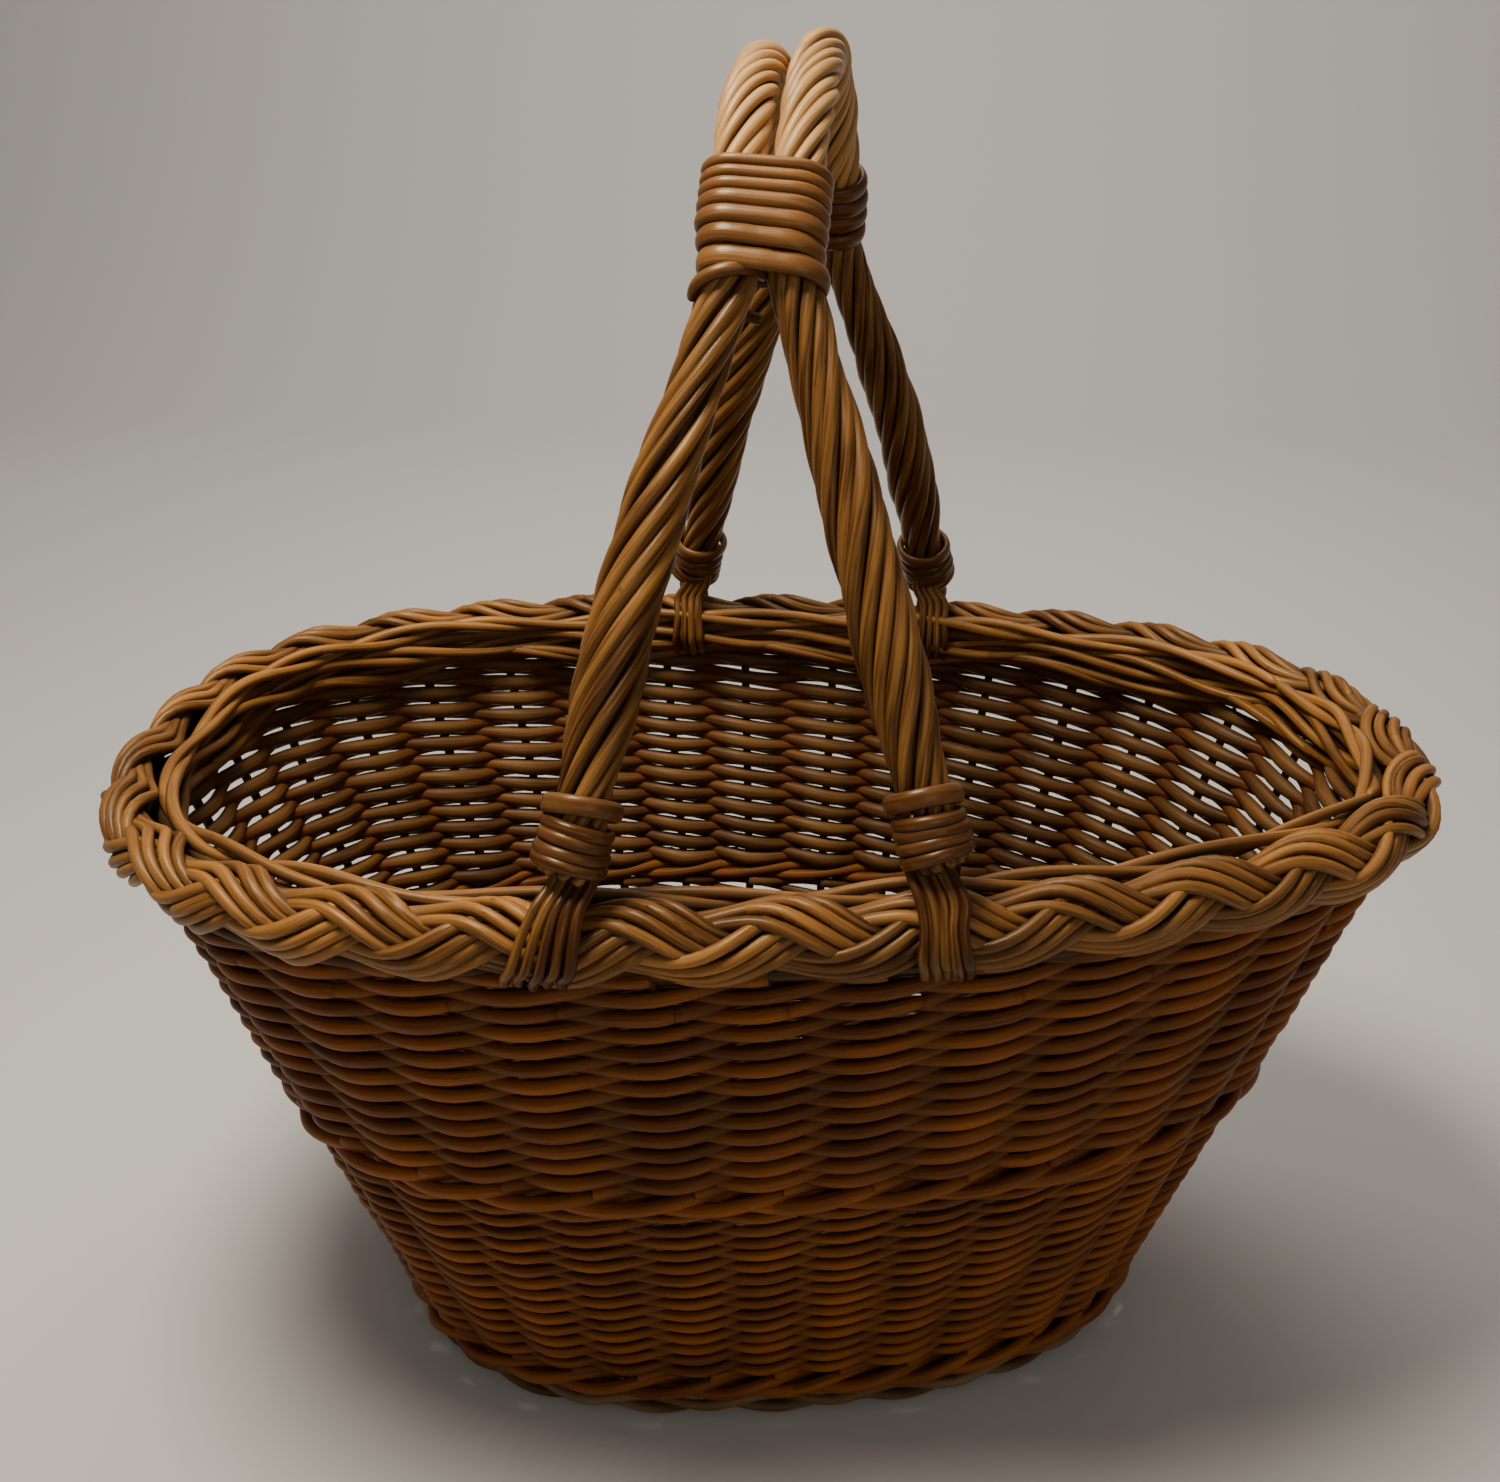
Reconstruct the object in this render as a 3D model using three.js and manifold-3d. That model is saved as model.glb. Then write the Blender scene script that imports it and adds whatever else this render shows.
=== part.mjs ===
// Oval willow shopping basket with a double rope handle, millimetres, +Z up.
// Long axis along X, handle arches front to back along Y, front at -Y.
import * as THREE from 'three';
import { mergeVertices } from 'three/addons/utils/BufferGeometryUtils.js';
import Module from 'manifold-3d';

const wasm = await Module();
wasm.setup();

// Driving dimensions
const GAP = 0.3;
const RING_STEPS = 48;
const STAKE_COUNT = 32;
const STAKE_RADIUS = 2.3;
const STAKE_END_GAP = 1.3;
const WALL_THICKNESS = 10;
const WALL_TOP = 232;
const BORDER_TOP = 262;
const OVERHANG_AT_ENDS = 15;
const OVERHANG_AT_SIDES = 9;

// Plan ovals: superellipses whose front half is pushed askew, as the hand-made basket is
const rimOval = { halfLength: 245, halfWidth: 150, squareness: 2.43, skew: 0.12 };
const wallTopOval = {
  ...rimOval,
  halfLength: rimOval.halfLength - OVERHANG_AT_ENDS,
  halfWidth: rimOval.halfWidth - OVERHANG_AT_SIDES,
};
const baseOval = { halfLength: 150, halfWidth: 95, squareness: 2.45, skew: 0.12 };

// Heights of the woven bands, bottom to top
const FOOT_HEIGHT = 12;
const bands = [
  { name: 'upsett_wale', bottom: FOOT_HEIGHT + GAP, top: 23, colour: 0x6b4226 },
  { name: 'lower_siding', bottom: 23 + GAP, top: 125, colour: 0x70421f },
  { name: 'mid_wale', bottom: 125 + GAP, top: 135, colour: 0x8a5a30 },
  { name: 'upper_siding', bottom: 135 + GAP, top: 222, colour: 0x7d4f28 },
  { name: 'top_wale', bottom: 222 + GAP, top: WALL_TOP, colour: 0x8c5f34 },
];

// Base: a slab of weave on crossed sticks, standing on the foot border
const BASE_BOTTOM = FOOT_HEIGHT + GAP;
const BASE_THICKNESS = 9;
const BASE_STICK_RADIUS = 2.5;
const LONG_STICK_SLIMMER = 0.4;
const crossStickPlaces = [-96, -48, 0, 48, 96];
const longStickPlaces = [-14, 0, 14];

// Handle: two ropes side by side, splayed at the rim and bound together near the top
const ROPE_SIDES = 8;
const ROPE_STEPS = 40;
const ropeRadius = { tie: 8.3, leg: 10.2, crown: 8.2 };
const legs = {
  near: { side: -1, tieX: 2.5, tieY: 132, wrapX: 0, wrapY: 60, wrapZ: 446 },
  far: { side: 1, tieX: 10, tieY: 131, wrapX: 11, wrapY: 60, wrapZ: 443 },
};
const LEG_SPREAD = 52;
const CROWN_SPREAD = 9.2;
const ROPE_END_Z = 271;
const TIE_Z = 284;
const CROWN_X = 6;
const CROWN_Z = 490;
const wraps = { near: { length: 36, radius: 11.5, turns: 4 }, far: { length: 27, radius: 11.2, turns: 3 } };
const tieCollar = { length: 23, radius: 12, turns: 3 };

const willow = {
  border: 0xa9824f,
  handle: 0x9c6f3d,
  binding: 0x85502a,
  stake: 0x5d3c20,
  base: 0x6e4a2a,
  foot: 0x7a6650,
};

function namedMesh(name, geometry, colour, roughness = 0.5) {
  const material = new THREE.MeshStandardMaterial({ color: colour, roughness, metalness: 0 });
  const mesh = new THREE.Mesh(geometry, material);
  mesh.name = name;
  return mesh;
}

// Shares vertices and turns the faces outward, so that a geometry is one closed body
function closedBody(source) {
  source.deleteAttribute('normal');
  source.deleteAttribute('uv');
  const geometry = mergeVertices(source, 1e-3);
  const corners = geometry.attributes.position;
  const index = geometry.index.array;
  const [a, b, c] = [new THREE.Vector3(), new THREE.Vector3(), new THREE.Vector3()];
  const kept = [];
  let volume = 0;
  for (let i = 0; i < index.length; i += 3) {
    const [p, q, r] = index.slice(i, i + 3);
    if (p === q || q === r || r === p) continue;
    kept.push(p, q, r);
    a.fromBufferAttribute(corners, p);
    b.fromBufferAttribute(corners, q);
    c.fromBufferAttribute(corners, r);
    volume += a.dot(b.cross(c)) / 6;
  }
  geometry.setIndex(volume < 0 ? kept.reverse() : kept);
  return geometry;
}

function toSolid(geometry) {
  const vertProperties = Float32Array.from(geometry.attributes.position.array);
  const triVerts = Uint32Array.from(geometry.index.array);
  return new wasm.Manifold(new wasm.Mesh({ numProp: 3, vertProperties, triVerts }));
}

function fromSolid(solid) {
  const mesh = solid.getMesh();
  const geometry = new THREE.BufferGeometry();
  geometry.setAttribute('position', new THREE.BufferAttribute(Float32Array.from(mesh.vertProperties), 3));
  geometry.setIndex([...mesh.triVerts]);
  return geometry;
}

// What is left of a body after the cutters, without any loose slivers
function cut(geometry, cutters) {
  const left = cutters.reduce((solid, cutter) => solid.subtract(toSolid(cutter)), toSolid(geometry));
  const bodies = left.decompose();
  return fromSolid(bodies.reduce((best, body) => (body.volume() > best.volume() ? body : best)));
}

function ovalCurve(oval) {
  const power = 2 / oval.squareness;
  const points = [];
  for (let i = 0; i <= 360; i++) {
    const angle = THREE.MathUtils.degToRad(i);
    const c = Math.cos(angle);
    const s = Math.sin(angle);
    const x = oval.halfLength * Math.sign(c) * Math.abs(c) ** power;
    const y = oval.halfWidth * Math.sign(s) * Math.abs(s) ** power;
    const frontness = Math.max(0, -y / oval.halfWidth);
    points.push(new THREE.Vector2(x, y + oval.skew * x * frontness));
  }
  return new THREE.SplineCurve(points);
}

const rimCurve = ovalCurve(rimOval);
const wallTopCurve = ovalCurve(wallTopOval);
const baseCurve = ovalCurve(baseOval);

function insetPoint(curve, around, inset) {
  const tangent = curve.getTangentAt(around);
  const inward = new THREE.Vector2(-tangent.y, tangent.x);
  return curve.getPointAt(around).addScaledVector(inward, inset);
}

// A point of the straight-sided flaring wall; inset 0 is its outer face
function wallPoint(around, inset, height) {
  const low = insetPoint(baseCurve, around, inset);
  const high = insetPoint(wallTopCurve, around, inset);
  const place = low.lerp(high, height / WALL_TOP);
  return new THREE.Vector3(place.x, place.y, height);
}

function rimPoint(around, inset, height) {
  const place = insetPoint(rimCurve, around, inset);
  return new THREE.Vector3(place.x, place.y, height);
}

// Carries a closed profile of (inset, height) round an oval
function ring(placeOf, profile) {
  const closedProfile = [...profile, profile[0]].map(([inset, height]) => new THREE.Vector2(inset, height));
  const geometry = new THREE.LatheGeometry(closedProfile, RING_STEPS);
  const position = geometry.attributes.position;
  for (let i = 0; i < position.count; i++) {
    const step = Math.floor(i / closedProfile.length) % RING_STEPS;
    const corner = closedProfile[i % closedProfile.length];
    const place = placeOf(step / RING_STEPS, corner.x, corner.y);
    position.setXYZ(i, place.x, place.y, place.z);
  }
  return closedBody(geometry);
}

function roundProfile(centreInset, centreHeight, radiusAcross, radiusUp, corners) {
  return Array.from({ length: corners }, (_, i) => {
    const angle = ((i + 0.5) / corners) * 2 * Math.PI;
    return [centreInset + radiusAcross * Math.cos(angle), centreHeight + radiusUp * Math.sin(angle)];
  });
}

// A straight rod between two points, as a geometry in the basket's frame
function straightRod(from, to, radius, sides) {
  const axis = to.clone().sub(from);
  const geometry = new THREE.CylinderGeometry(radius, radius, axis.length(), sides);
  const turn = new THREE.Quaternion().setFromUnitVectors(new THREE.Vector3(0, 1, 0), axis.normalize());
  const middle = from.clone().lerp(to, 0.5);
  geometry.applyMatrix4(new THREE.Matrix4().compose(middle, turn, new THREE.Vector3(1, 1, 1)));
  return closedBody(geometry);
}

// A rod bent along a curve; across and deep give its two radii at each fraction of the length
function bentRod(curve, across, deep, sides, steps) {
  const geometry = new THREE.CylinderGeometry(1, 1, 1, sides, steps);
  const position = geometry.attributes.position;
  const sideways = new THREE.Vector3(1, 0, 0);
  for (let i = 0; i < position.count; i++) {
    const along = 0.5 - position.getY(i);
    const tangent = curve.getTangentAt(along);
    const u = sideways.clone().addScaledVector(tangent, -sideways.dot(tangent)).normalize();
    const v = new THREE.Vector3().crossVectors(tangent, u);
    const place = curve.getPointAt(along);
    place.addScaledVector(u, position.getX(i) * across(along));
    place.addScaledVector(v, position.getZ(i) * deep(along));
    position.setXYZ(i, place.x, place.y, place.z);
  }
  return closedBody(geometry);
}

// Foot border: a worn plaited ring with a flat tread
function makeFoot() {
  const profile = [[2, 0], [11, 0], [13.5, 4], [12.5, FOOT_HEIGHT], [0.5, FOOT_HEIGHT], [-1.5, 4]];
  return namedMesh('foot_border', ring(wallPoint, profile), willow.foot, 0.7);
}

// Stakes: the uprights that the bands are woven round
function stakeRod(number, radius, bottom, top) {
  const around = (number + 0.5) / STAKE_COUNT;
  const from = wallPoint(around, WALL_THICKNESS / 2, bottom);
  const to = wallPoint(around, WALL_THICKNESS / 2, top);
  return straightRod(from, to, radius, 6);
}

function makeStakes() {
  return Array.from({ length: STAKE_COUNT }, (_, i) => {
    const rod = stakeRod(i, STAKE_RADIUS, FOOT_HEIGHT + STAKE_END_GAP, WALL_TOP - STAKE_END_GAP);
    return namedMesh(`stake_${i + 1}`, rod, willow.stake);
  });
}

// Each band is a ring of weave with a tunnel for every stake
function makeBand({ name, bottom, top, colour }) {
  const profile = [[0, bottom], [WALL_THICKNESS, bottom], [WALL_THICKNESS, top], [0, top]];
  const tunnels = Array.from({ length: STAKE_COUNT }, (_, i) =>
    stakeRod(i, STAKE_RADIUS + 1.3 * GAP, bottom - 2, top + 2));
  return namedMesh(name, cut(ring(wallPoint, profile), tunnels), colour);
}

// Base: crossed sticks, and the weave packed round them
function baseSlath(radius, reach) {
  const middle = BASE_BOTTOM + BASE_THICKNESS / 2;
  const sticks = [];
  const addStick = (from, to, slimmer) => sticks.push(straightRod(from, to, radius - slimmer, 6));
  const edgeAt = (x, y) => {
    const inner = { x: baseOval.halfLength - 8, y: baseOval.halfWidth - 8 };
    const rest = 1 - Math.abs(x / inner.x) ** baseOval.squareness - Math.abs(y / inner.y) ** baseOval.squareness;
    return Math.max(0, rest) ** (1 / baseOval.squareness);
  };
  for (const x of crossStickPlaces) {
    const half = edgeAt(x, 0) * (baseOval.halfWidth - 8) + reach;
    const lean = baseOval.skew * x;
    addStick(new THREE.Vector3(x, -half + lean, middle), new THREE.Vector3(x, half, middle), 0);
  }
  for (const y of longStickPlaces) {
    const half = edgeAt(0, y) * (baseOval.halfLength - 8) + reach;
    addStick(new THREE.Vector3(-half, y, middle), new THREE.Vector3(half, y, middle), LONG_STICK_SLIMMER);
  }
  const [first, ...others] = sticks.map(toSolid);
  return others.reduce((whole, stick) => whole.add(stick), first);
}

function baseOutline(inset) {
  const points = [];
  for (let i = 0; i < RING_STEPS; i++) {
    const place = wallPoint(i / RING_STEPS, inset, BASE_BOTTOM);
    points.push(new THREE.Vector2(place.x, place.y));
  }
  return new THREE.Shape(points);
}

function makeBase() {
  const slab = new THREE.ExtrudeGeometry(baseOutline(WALL_THICKNESS + 1.5), {
    depth: BASE_THICKNESS,
    bevelEnabled: false,
  });
  slab.translate(0, 0, BASE_BOTTOM);
  const slabSolid = toSolid(closedBody(slab));
  const slath = baseSlath(BASE_STICK_RADIUS, 0).intersect(slabSolid);
  const weave = slabSolid.subtract(baseSlath(BASE_STICK_RADIUS + 1.2 * GAP, 12));
  return [
    namedMesh('base_slath', fromSolid(slath), willow.base),
    namedMesh('base_weave', fromSolid(weave), willow.base, 0.6),
  ];
}

// Border: the thick plait that closes the rim, with a thin rod rolled along its inner edge
const PLAIT_INSET = 10.5;
const PLAIT_HALF_HEIGHT = (BORDER_TOP - WALL_TOP) / 2 - 0.5;
const PLAIT_MIDDLE = BORDER_TOP - PLAIT_HALF_HEIGHT;
const PLAIT_LEAN = 4;
const TRAC_RADIUS = 2.5;
const TRAC_INSET = 2 * PLAIT_INSET + TRAC_RADIUS + GAP;

// How far inward the plait leans at a height, to sit on the wall under it
function plaitLean(height) {
  return (PLAIT_LEAN * Math.max(0, PLAIT_MIDDLE - height)) / PLAIT_HALF_HEIGHT;
}

function makeBorder() {
  const upright = roundProfile(PLAIT_INSET, PLAIT_MIDDLE, PLAIT_INSET, PLAIT_HALF_HEIGHT, 8);
  const plait = upright.map(([inset, height]) => [inset + plaitLean(height), height]);
  const trac = roundProfile(TRAC_INSET, PLAIT_MIDDLE + 4, TRAC_RADIUS, TRAC_RADIUS, 6);
  return [
    namedMesh('border_plait', ring(rimPoint, plait), willow.border),
    namedMesh('border_inner_rod', ring(rimPoint, trac), willow.border),
  ];
}

// Handle ropes
function ropeRoute(hand) {
  const { near, far } = legs;
  const leg = (end) => {
    const sideY = (y) => end.side * y;
    const skewY = end === near ? rimOval.skew * hand * LEG_SPREAD : 0;
    const run = end.tieY - end.wrapY;
    const middleZ = (TIE_Z + end.wrapZ) / 2 - 12;
    const bow = end === near && hand > 0 ? 3 : 0;
    const at = (x, y, z) => new THREE.Vector3(x, y, z);
    return [
      at(end.tieX + hand * (LEG_SPREAD + 3), sideY(end.tieY + 6) + skewY, ROPE_END_Z),
      at(end.tieX + hand * LEG_SPREAD, sideY(end.tieY) + skewY, TIE_Z),
      at(end.tieX + hand * (0.55 * LEG_SPREAD + 5 - bow), sideY(end.tieY - 0.42 * run) + skewY / 2, middleZ),
      at(end.wrapX + hand * (CROWN_SPREAD + 1.2), sideY(end.wrapY + 9), end.wrapZ - 18),
      at(end.wrapX + hand * CROWN_SPREAD, sideY(end.wrapY), end.wrapZ),
      at((end.wrapX + CROWN_X) / 2 + hand * CROWN_SPREAD, sideY(end.wrapY - 27), CROWN_Z - 13),
    ];
  };
  const crown = new THREE.Vector3(CROWN_X + hand * CROWN_SPREAD, 0, CROWN_Z + 2 * hand);
  return new THREE.CatmullRomCurve3([...leg(near), crown, ...leg(far).reverse()], false, 'centripetal');
}

function ropeRadiusAt(along) {
  const fromEnd = Math.min(along, 1 - along);
  const swollen = THREE.MathUtils.smoothstep(fromEnd, 0.04, 0.1);
  const slimmed = THREE.MathUtils.smoothstep(fromEnd, 0.18, 0.28);
  const lower = THREE.MathUtils.lerp(ropeRadius.tie, ropeRadius.leg, swollen);
  return THREE.MathUtils.lerp(lower, ropeRadius.crown, slimmed);
}

function rope(hand, extra) {
  const radius = (along) => ropeRadiusAt(along) + extra;
  return bentRod(ropeRoute(hand), radius, radius, ROPE_SIDES, ROPE_STEPS);
}

const hands = { left: -1, right: 1 };
const ropeRoutes = { left: ropeRoute(-1), right: ropeRoute(1) };
const fatRopes = { left: rope(-1, 1.5 * GAP), right: rope(1, 1.5 * GAP) };

function nearestOnRope(route, target) {
  const samples = route.getSpacedPoints(400);
  const distances = samples.map((point) => point.distanceTo(target));
  const along = distances.indexOf(Math.min(...distances)) / 400;
  return { place: route.getPointAt(along), axis: route.getTangentAt(along) };
}

// A barrel of binding turned round an axis, its outside rounded over each turn
function bindingBarrel(place, axis, length, radius, turns, widen) {
  const profile = [new THREE.Vector2(0, -length / 2)];
  for (let i = 0; i <= 2 * turns; i++) {
    const bulge = i % 2 === 1 ? 0 : -0.9;
    profile.push(new THREE.Vector2(radius + bulge, (i / (2 * turns) - 0.5) * length));
  }
  profile.push(new THREE.Vector2(0, length / 2));
  const geometry = new THREE.LatheGeometry(profile, 12);
  geometry.scale(widen, 1, 1);
  const up = axis.clone().normalize();
  const across = new THREE.Vector3(1, 0, 0).addScaledVector(up, -up.x).normalize();
  const out = new THREE.Vector3().crossVectors(across, up);
  const turn = new THREE.Matrix4().makeBasis(across, up, out).setPosition(place);
  geometry.applyMatrix4(turn);
  return closedBody(geometry);
}

function makeTies() {
  return Object.keys(hands).flatMap((hand) =>
    Object.entries(legs).map(([end, leg]) => {
      const skewY = end === 'near' ? rimOval.skew * hands[hand] * LEG_SPREAD : 0;
      const x = leg.tieX + hands[hand] * LEG_SPREAD;
      const target = new THREE.Vector3(x, leg.side * leg.tieY + skewY, TIE_Z);
      const { place, axis } = nearestOnRope(ropeRoutes[hand], target);
      const { length, radius, turns } = tieCollar;
      const barrel = bindingBarrel(place, axis, length, radius, turns, 1);
      return namedMesh(`tie_${end}_${hand}`, cut(barrel, [fatRopes[hand]]), willow.handle);
    }));
}

function makeWraps() {
  return Object.entries(legs).map(([end, leg]) => {
    const target = new THREE.Vector3(leg.wrapX, leg.side * leg.wrapY, leg.wrapZ);
    const left = nearestOnRope(ropeRoutes.left, target);
    const right = nearestOnRope(ropeRoutes.right, target);
    const place = left.place.clone().lerp(right.place, 0.5);
    const axis = left.axis.clone().add(right.axis);
    const { length, radius, turns } = wraps[end];
    const widen = (CROWN_SPREAD + radius) / radius;
    const barrel = bindingBarrel(place, axis, length, radius, turns, widen);
    return namedMesh(`wrap_${end}`, cut(barrel, [fatRopes.left, fatRopes.right]), willow.binding, 0.35);
  });
}

// Below each tie the rope's rods part and run down both faces of the border into the wall
const STRADDLE = {
  inset: 13,
  across: 17.2,
  up: 18,
  width: 8.5,
  thickness: 2.2,
  tail: 3,
  outerTuck: 1.2,
  leanShare: 0.3,
  innerLean: 3.6,
};

function rimYAt(x, side, inset) {
  const places = Array.from({ length: 720 }, (_, i) => insetPoint(rimCurve, i / 720, inset));
  const onSide = places.filter((place) => place.y * side > 0);
  return onSide.reduce((best, place) => (Math.abs(place.x - x) < Math.abs(best.x - x) ? place : best)).y;
}

function strandRoute(x, end, faceSide) {
  const rimY = rimYAt(x, end.side, STRADDLE.inset);
  const outward = end.side * faceSide;
  const points = [70, 35, 0, -32, -58].map((degrees) => {
    const angle = THREE.MathUtils.degToRad(degrees);
    const z = PLAIT_MIDDLE + STRADDLE.up * Math.sin(angle);
    const y = rimY + outward * STRADDLE.across * Math.cos(angle) - end.side * STRADDLE.leanShare * plaitLean(z);
    return new THREE.Vector3(x, y, z);
  });
  const last = points.at(-1);
  const drift = faceSide > 0 ? -STRADDLE.outerTuck : STRADDLE.innerLean;
  points.push(new THREE.Vector3(x, last.y + outward * drift, last.z - STRADDLE.tail));
  return new THREE.CatmullRomCurve3(points, false, 'centripetal');
}

function makeStrands() {
  const faces = { outer: 1, inner: -1 };
  return Object.keys(hands).flatMap((hand) =>
    Object.entries(legs).flatMap(([end, leg]) =>
      Object.entries(faces).map(([face, side]) => {
        const x = leg.tieX + hands[hand] * (LEG_SPREAD + 4);
        const route = strandRoute(x, leg, side);
        const width = (along) => STRADDLE.width * (0.8 + 0.25 * along);
        const strands = bentRod(route, width, () => STRADDLE.thickness, 6, 8);
        return namedMesh(`strands_${face}_${end}_${hand}`, strands, willow.handle);
      })));
}

// The cut end of the near binding, left standing out below it
function makeBinderTail() {
  const from = new THREE.Vector3(-7, -59.5, 419);
  const to = new THREE.Vector3(1.5, -60.5, 418);
  return namedMesh('wrap_tail_end', straightRod(from, to, 1.7, 8), willow.binding);
}

const basket = new THREE.Group();
basket.add(
  makeFoot(),
  ...makeBase(),
  ...makeStakes(),
  ...bands.map(makeBand),
  ...makeBorder(),
  namedMesh('handle_rope_left', rope(hands.left, 0), willow.handle),
  namedMesh('handle_rope_right', rope(hands.right, 0), willow.handle),
  ...makeWraps(),
  ...makeTies(),
  ...makeStrands(),
  makeBinderTail(),
);

// The origin is under the middle of the basket's box, on the surface it stands on
const box = new THREE.Box3().setFromObject(basket);
basket.position.set(-(box.min.x + box.max.x) / 2, -(box.min.y + box.max.y) / 2, -box.min.z);

export default basket;
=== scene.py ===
"""Willow shopping basket: woven walls, plaited border and foot, roped handle. Metres, +Z up, front at -Y."""
import math

import bpy
import numpy as np
from mathutils import Matrix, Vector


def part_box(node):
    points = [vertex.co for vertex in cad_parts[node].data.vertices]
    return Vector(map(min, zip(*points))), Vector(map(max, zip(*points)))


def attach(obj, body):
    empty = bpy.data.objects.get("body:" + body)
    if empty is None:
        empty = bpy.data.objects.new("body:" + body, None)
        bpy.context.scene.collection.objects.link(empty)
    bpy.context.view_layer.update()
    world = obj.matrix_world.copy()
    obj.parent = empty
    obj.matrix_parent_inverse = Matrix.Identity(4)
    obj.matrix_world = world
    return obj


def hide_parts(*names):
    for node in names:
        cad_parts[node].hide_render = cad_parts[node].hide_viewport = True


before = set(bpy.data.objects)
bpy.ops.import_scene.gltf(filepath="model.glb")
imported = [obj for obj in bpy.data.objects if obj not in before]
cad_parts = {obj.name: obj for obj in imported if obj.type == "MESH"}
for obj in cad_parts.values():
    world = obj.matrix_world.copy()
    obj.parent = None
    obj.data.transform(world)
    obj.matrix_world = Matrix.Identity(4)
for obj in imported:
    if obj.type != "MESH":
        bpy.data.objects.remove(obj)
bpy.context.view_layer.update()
MM = 0.001
TAU = 2 * math.pi
rng = np.random.RandomState(7)


# ---------------------------------------------------------------- plan ovals and the wall surface

STAKES = 32
RIM_HALF = (245 * MM, 150 * MM)
BASE_HALF = (150 * MM, 95 * MM)
RIM_SQUARENESS = 2.43
BASE_SQUARENESS = 2.45
FRONT_SKEW = 0.12
OVERHANG_AT_ENDS = 15 * MM
OVERHANG_AT_SIDES = 9 * MM
WALL_HALF_THICKNESS = 5 * MM
WALL_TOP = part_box("top_wale")[1][2]
PLAN_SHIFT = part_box("border_plait")[1][1] - RIM_HALF[1]


class Oval:
    """A closed plan curve by fraction of its length, with inward normals."""

    def __init__(self, half, squareness):
        angle = np.linspace(0, TAU, 2881)
        c, s = np.cos(angle), np.sin(angle)
        x = half[0] * np.sign(c) * np.abs(c) ** (2 / squareness)
        y = half[1] * np.sign(s) * np.abs(s) ** (2 / squareness)
        y = y + FRONT_SKEW * x * np.clip(-y / half[1], 0, 1)
        step = np.hypot(np.diff(x), np.diff(y))
        length = np.concatenate([[0], np.cumsum(step)])
        self.length = length[-1]
        around = np.linspace(0, self.length, 2049)[:-1]
        x, y = np.interp(around, length, x), np.interp(around, length, y)
        tx, ty = np.roll(x, -1) - np.roll(x, 1), np.roll(y, -1) - np.roll(y, 1)
        size = np.hypot(tx, ty)
        self.table = np.stack([x, y + PLAN_SHIFT, -ty / size, tx / size], 1)

    def at(self, u, inset=0.0):
        """Points (n, 2) at fractions u of the length, moved inward by inset."""
        place = np.mod(u, 1) * len(self.table)
        low = np.floor(place).astype(int) % len(self.table)
        part = (place - np.floor(place))[:, None]
        row = self.table[low] * (1 - part) + self.table[(low + 1) % len(self.table)] * part
        return row[:, :2] + row[:, 2:] * np.reshape(inset, (-1, 1))

    def outward(self, u):
        place = np.round(np.mod(u, 1) * len(self.table)).astype(int) % len(self.table)
        return -self.table[place, 2:]


rim_oval = Oval(RIM_HALF, RIM_SQUARENESS)
wall_oval = Oval((RIM_HALF[0] - OVERHANG_AT_ENDS, RIM_HALF[1] - OVERHANG_AT_SIDES), RIM_SQUARENESS)
base_oval = Oval(BASE_HALF, BASE_SQUARENESS)


def wall_point(u, out, z):
    """Points of the flaring wall; out is the distance outward from the stakes' centre line."""
    inset = WALL_HALF_THICKNESS - out
    part = np.reshape(z / WALL_TOP, (-1, 1))
    xy = base_oval.at(u, inset) * (1 - part) + wall_oval.at(u, inset) * part
    return np.column_stack([xy, np.broadcast_to(z, len(xy))])


def wall_outward(u):
    flat = wall_oval.outward(u)
    return np.column_stack([flat, np.full(len(flat), -0.25)])


# ---------------------------------------------------------------- rods as tubes

KNOT_SIZE = 0.025
KNOT_PACE = (70, 23)
GRAIN_SHIFT = 7
# Where the painted shade on a rod's sides begins, as the cosine from its outward face
SIDE_SHADE_EDGE = 0.75


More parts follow.
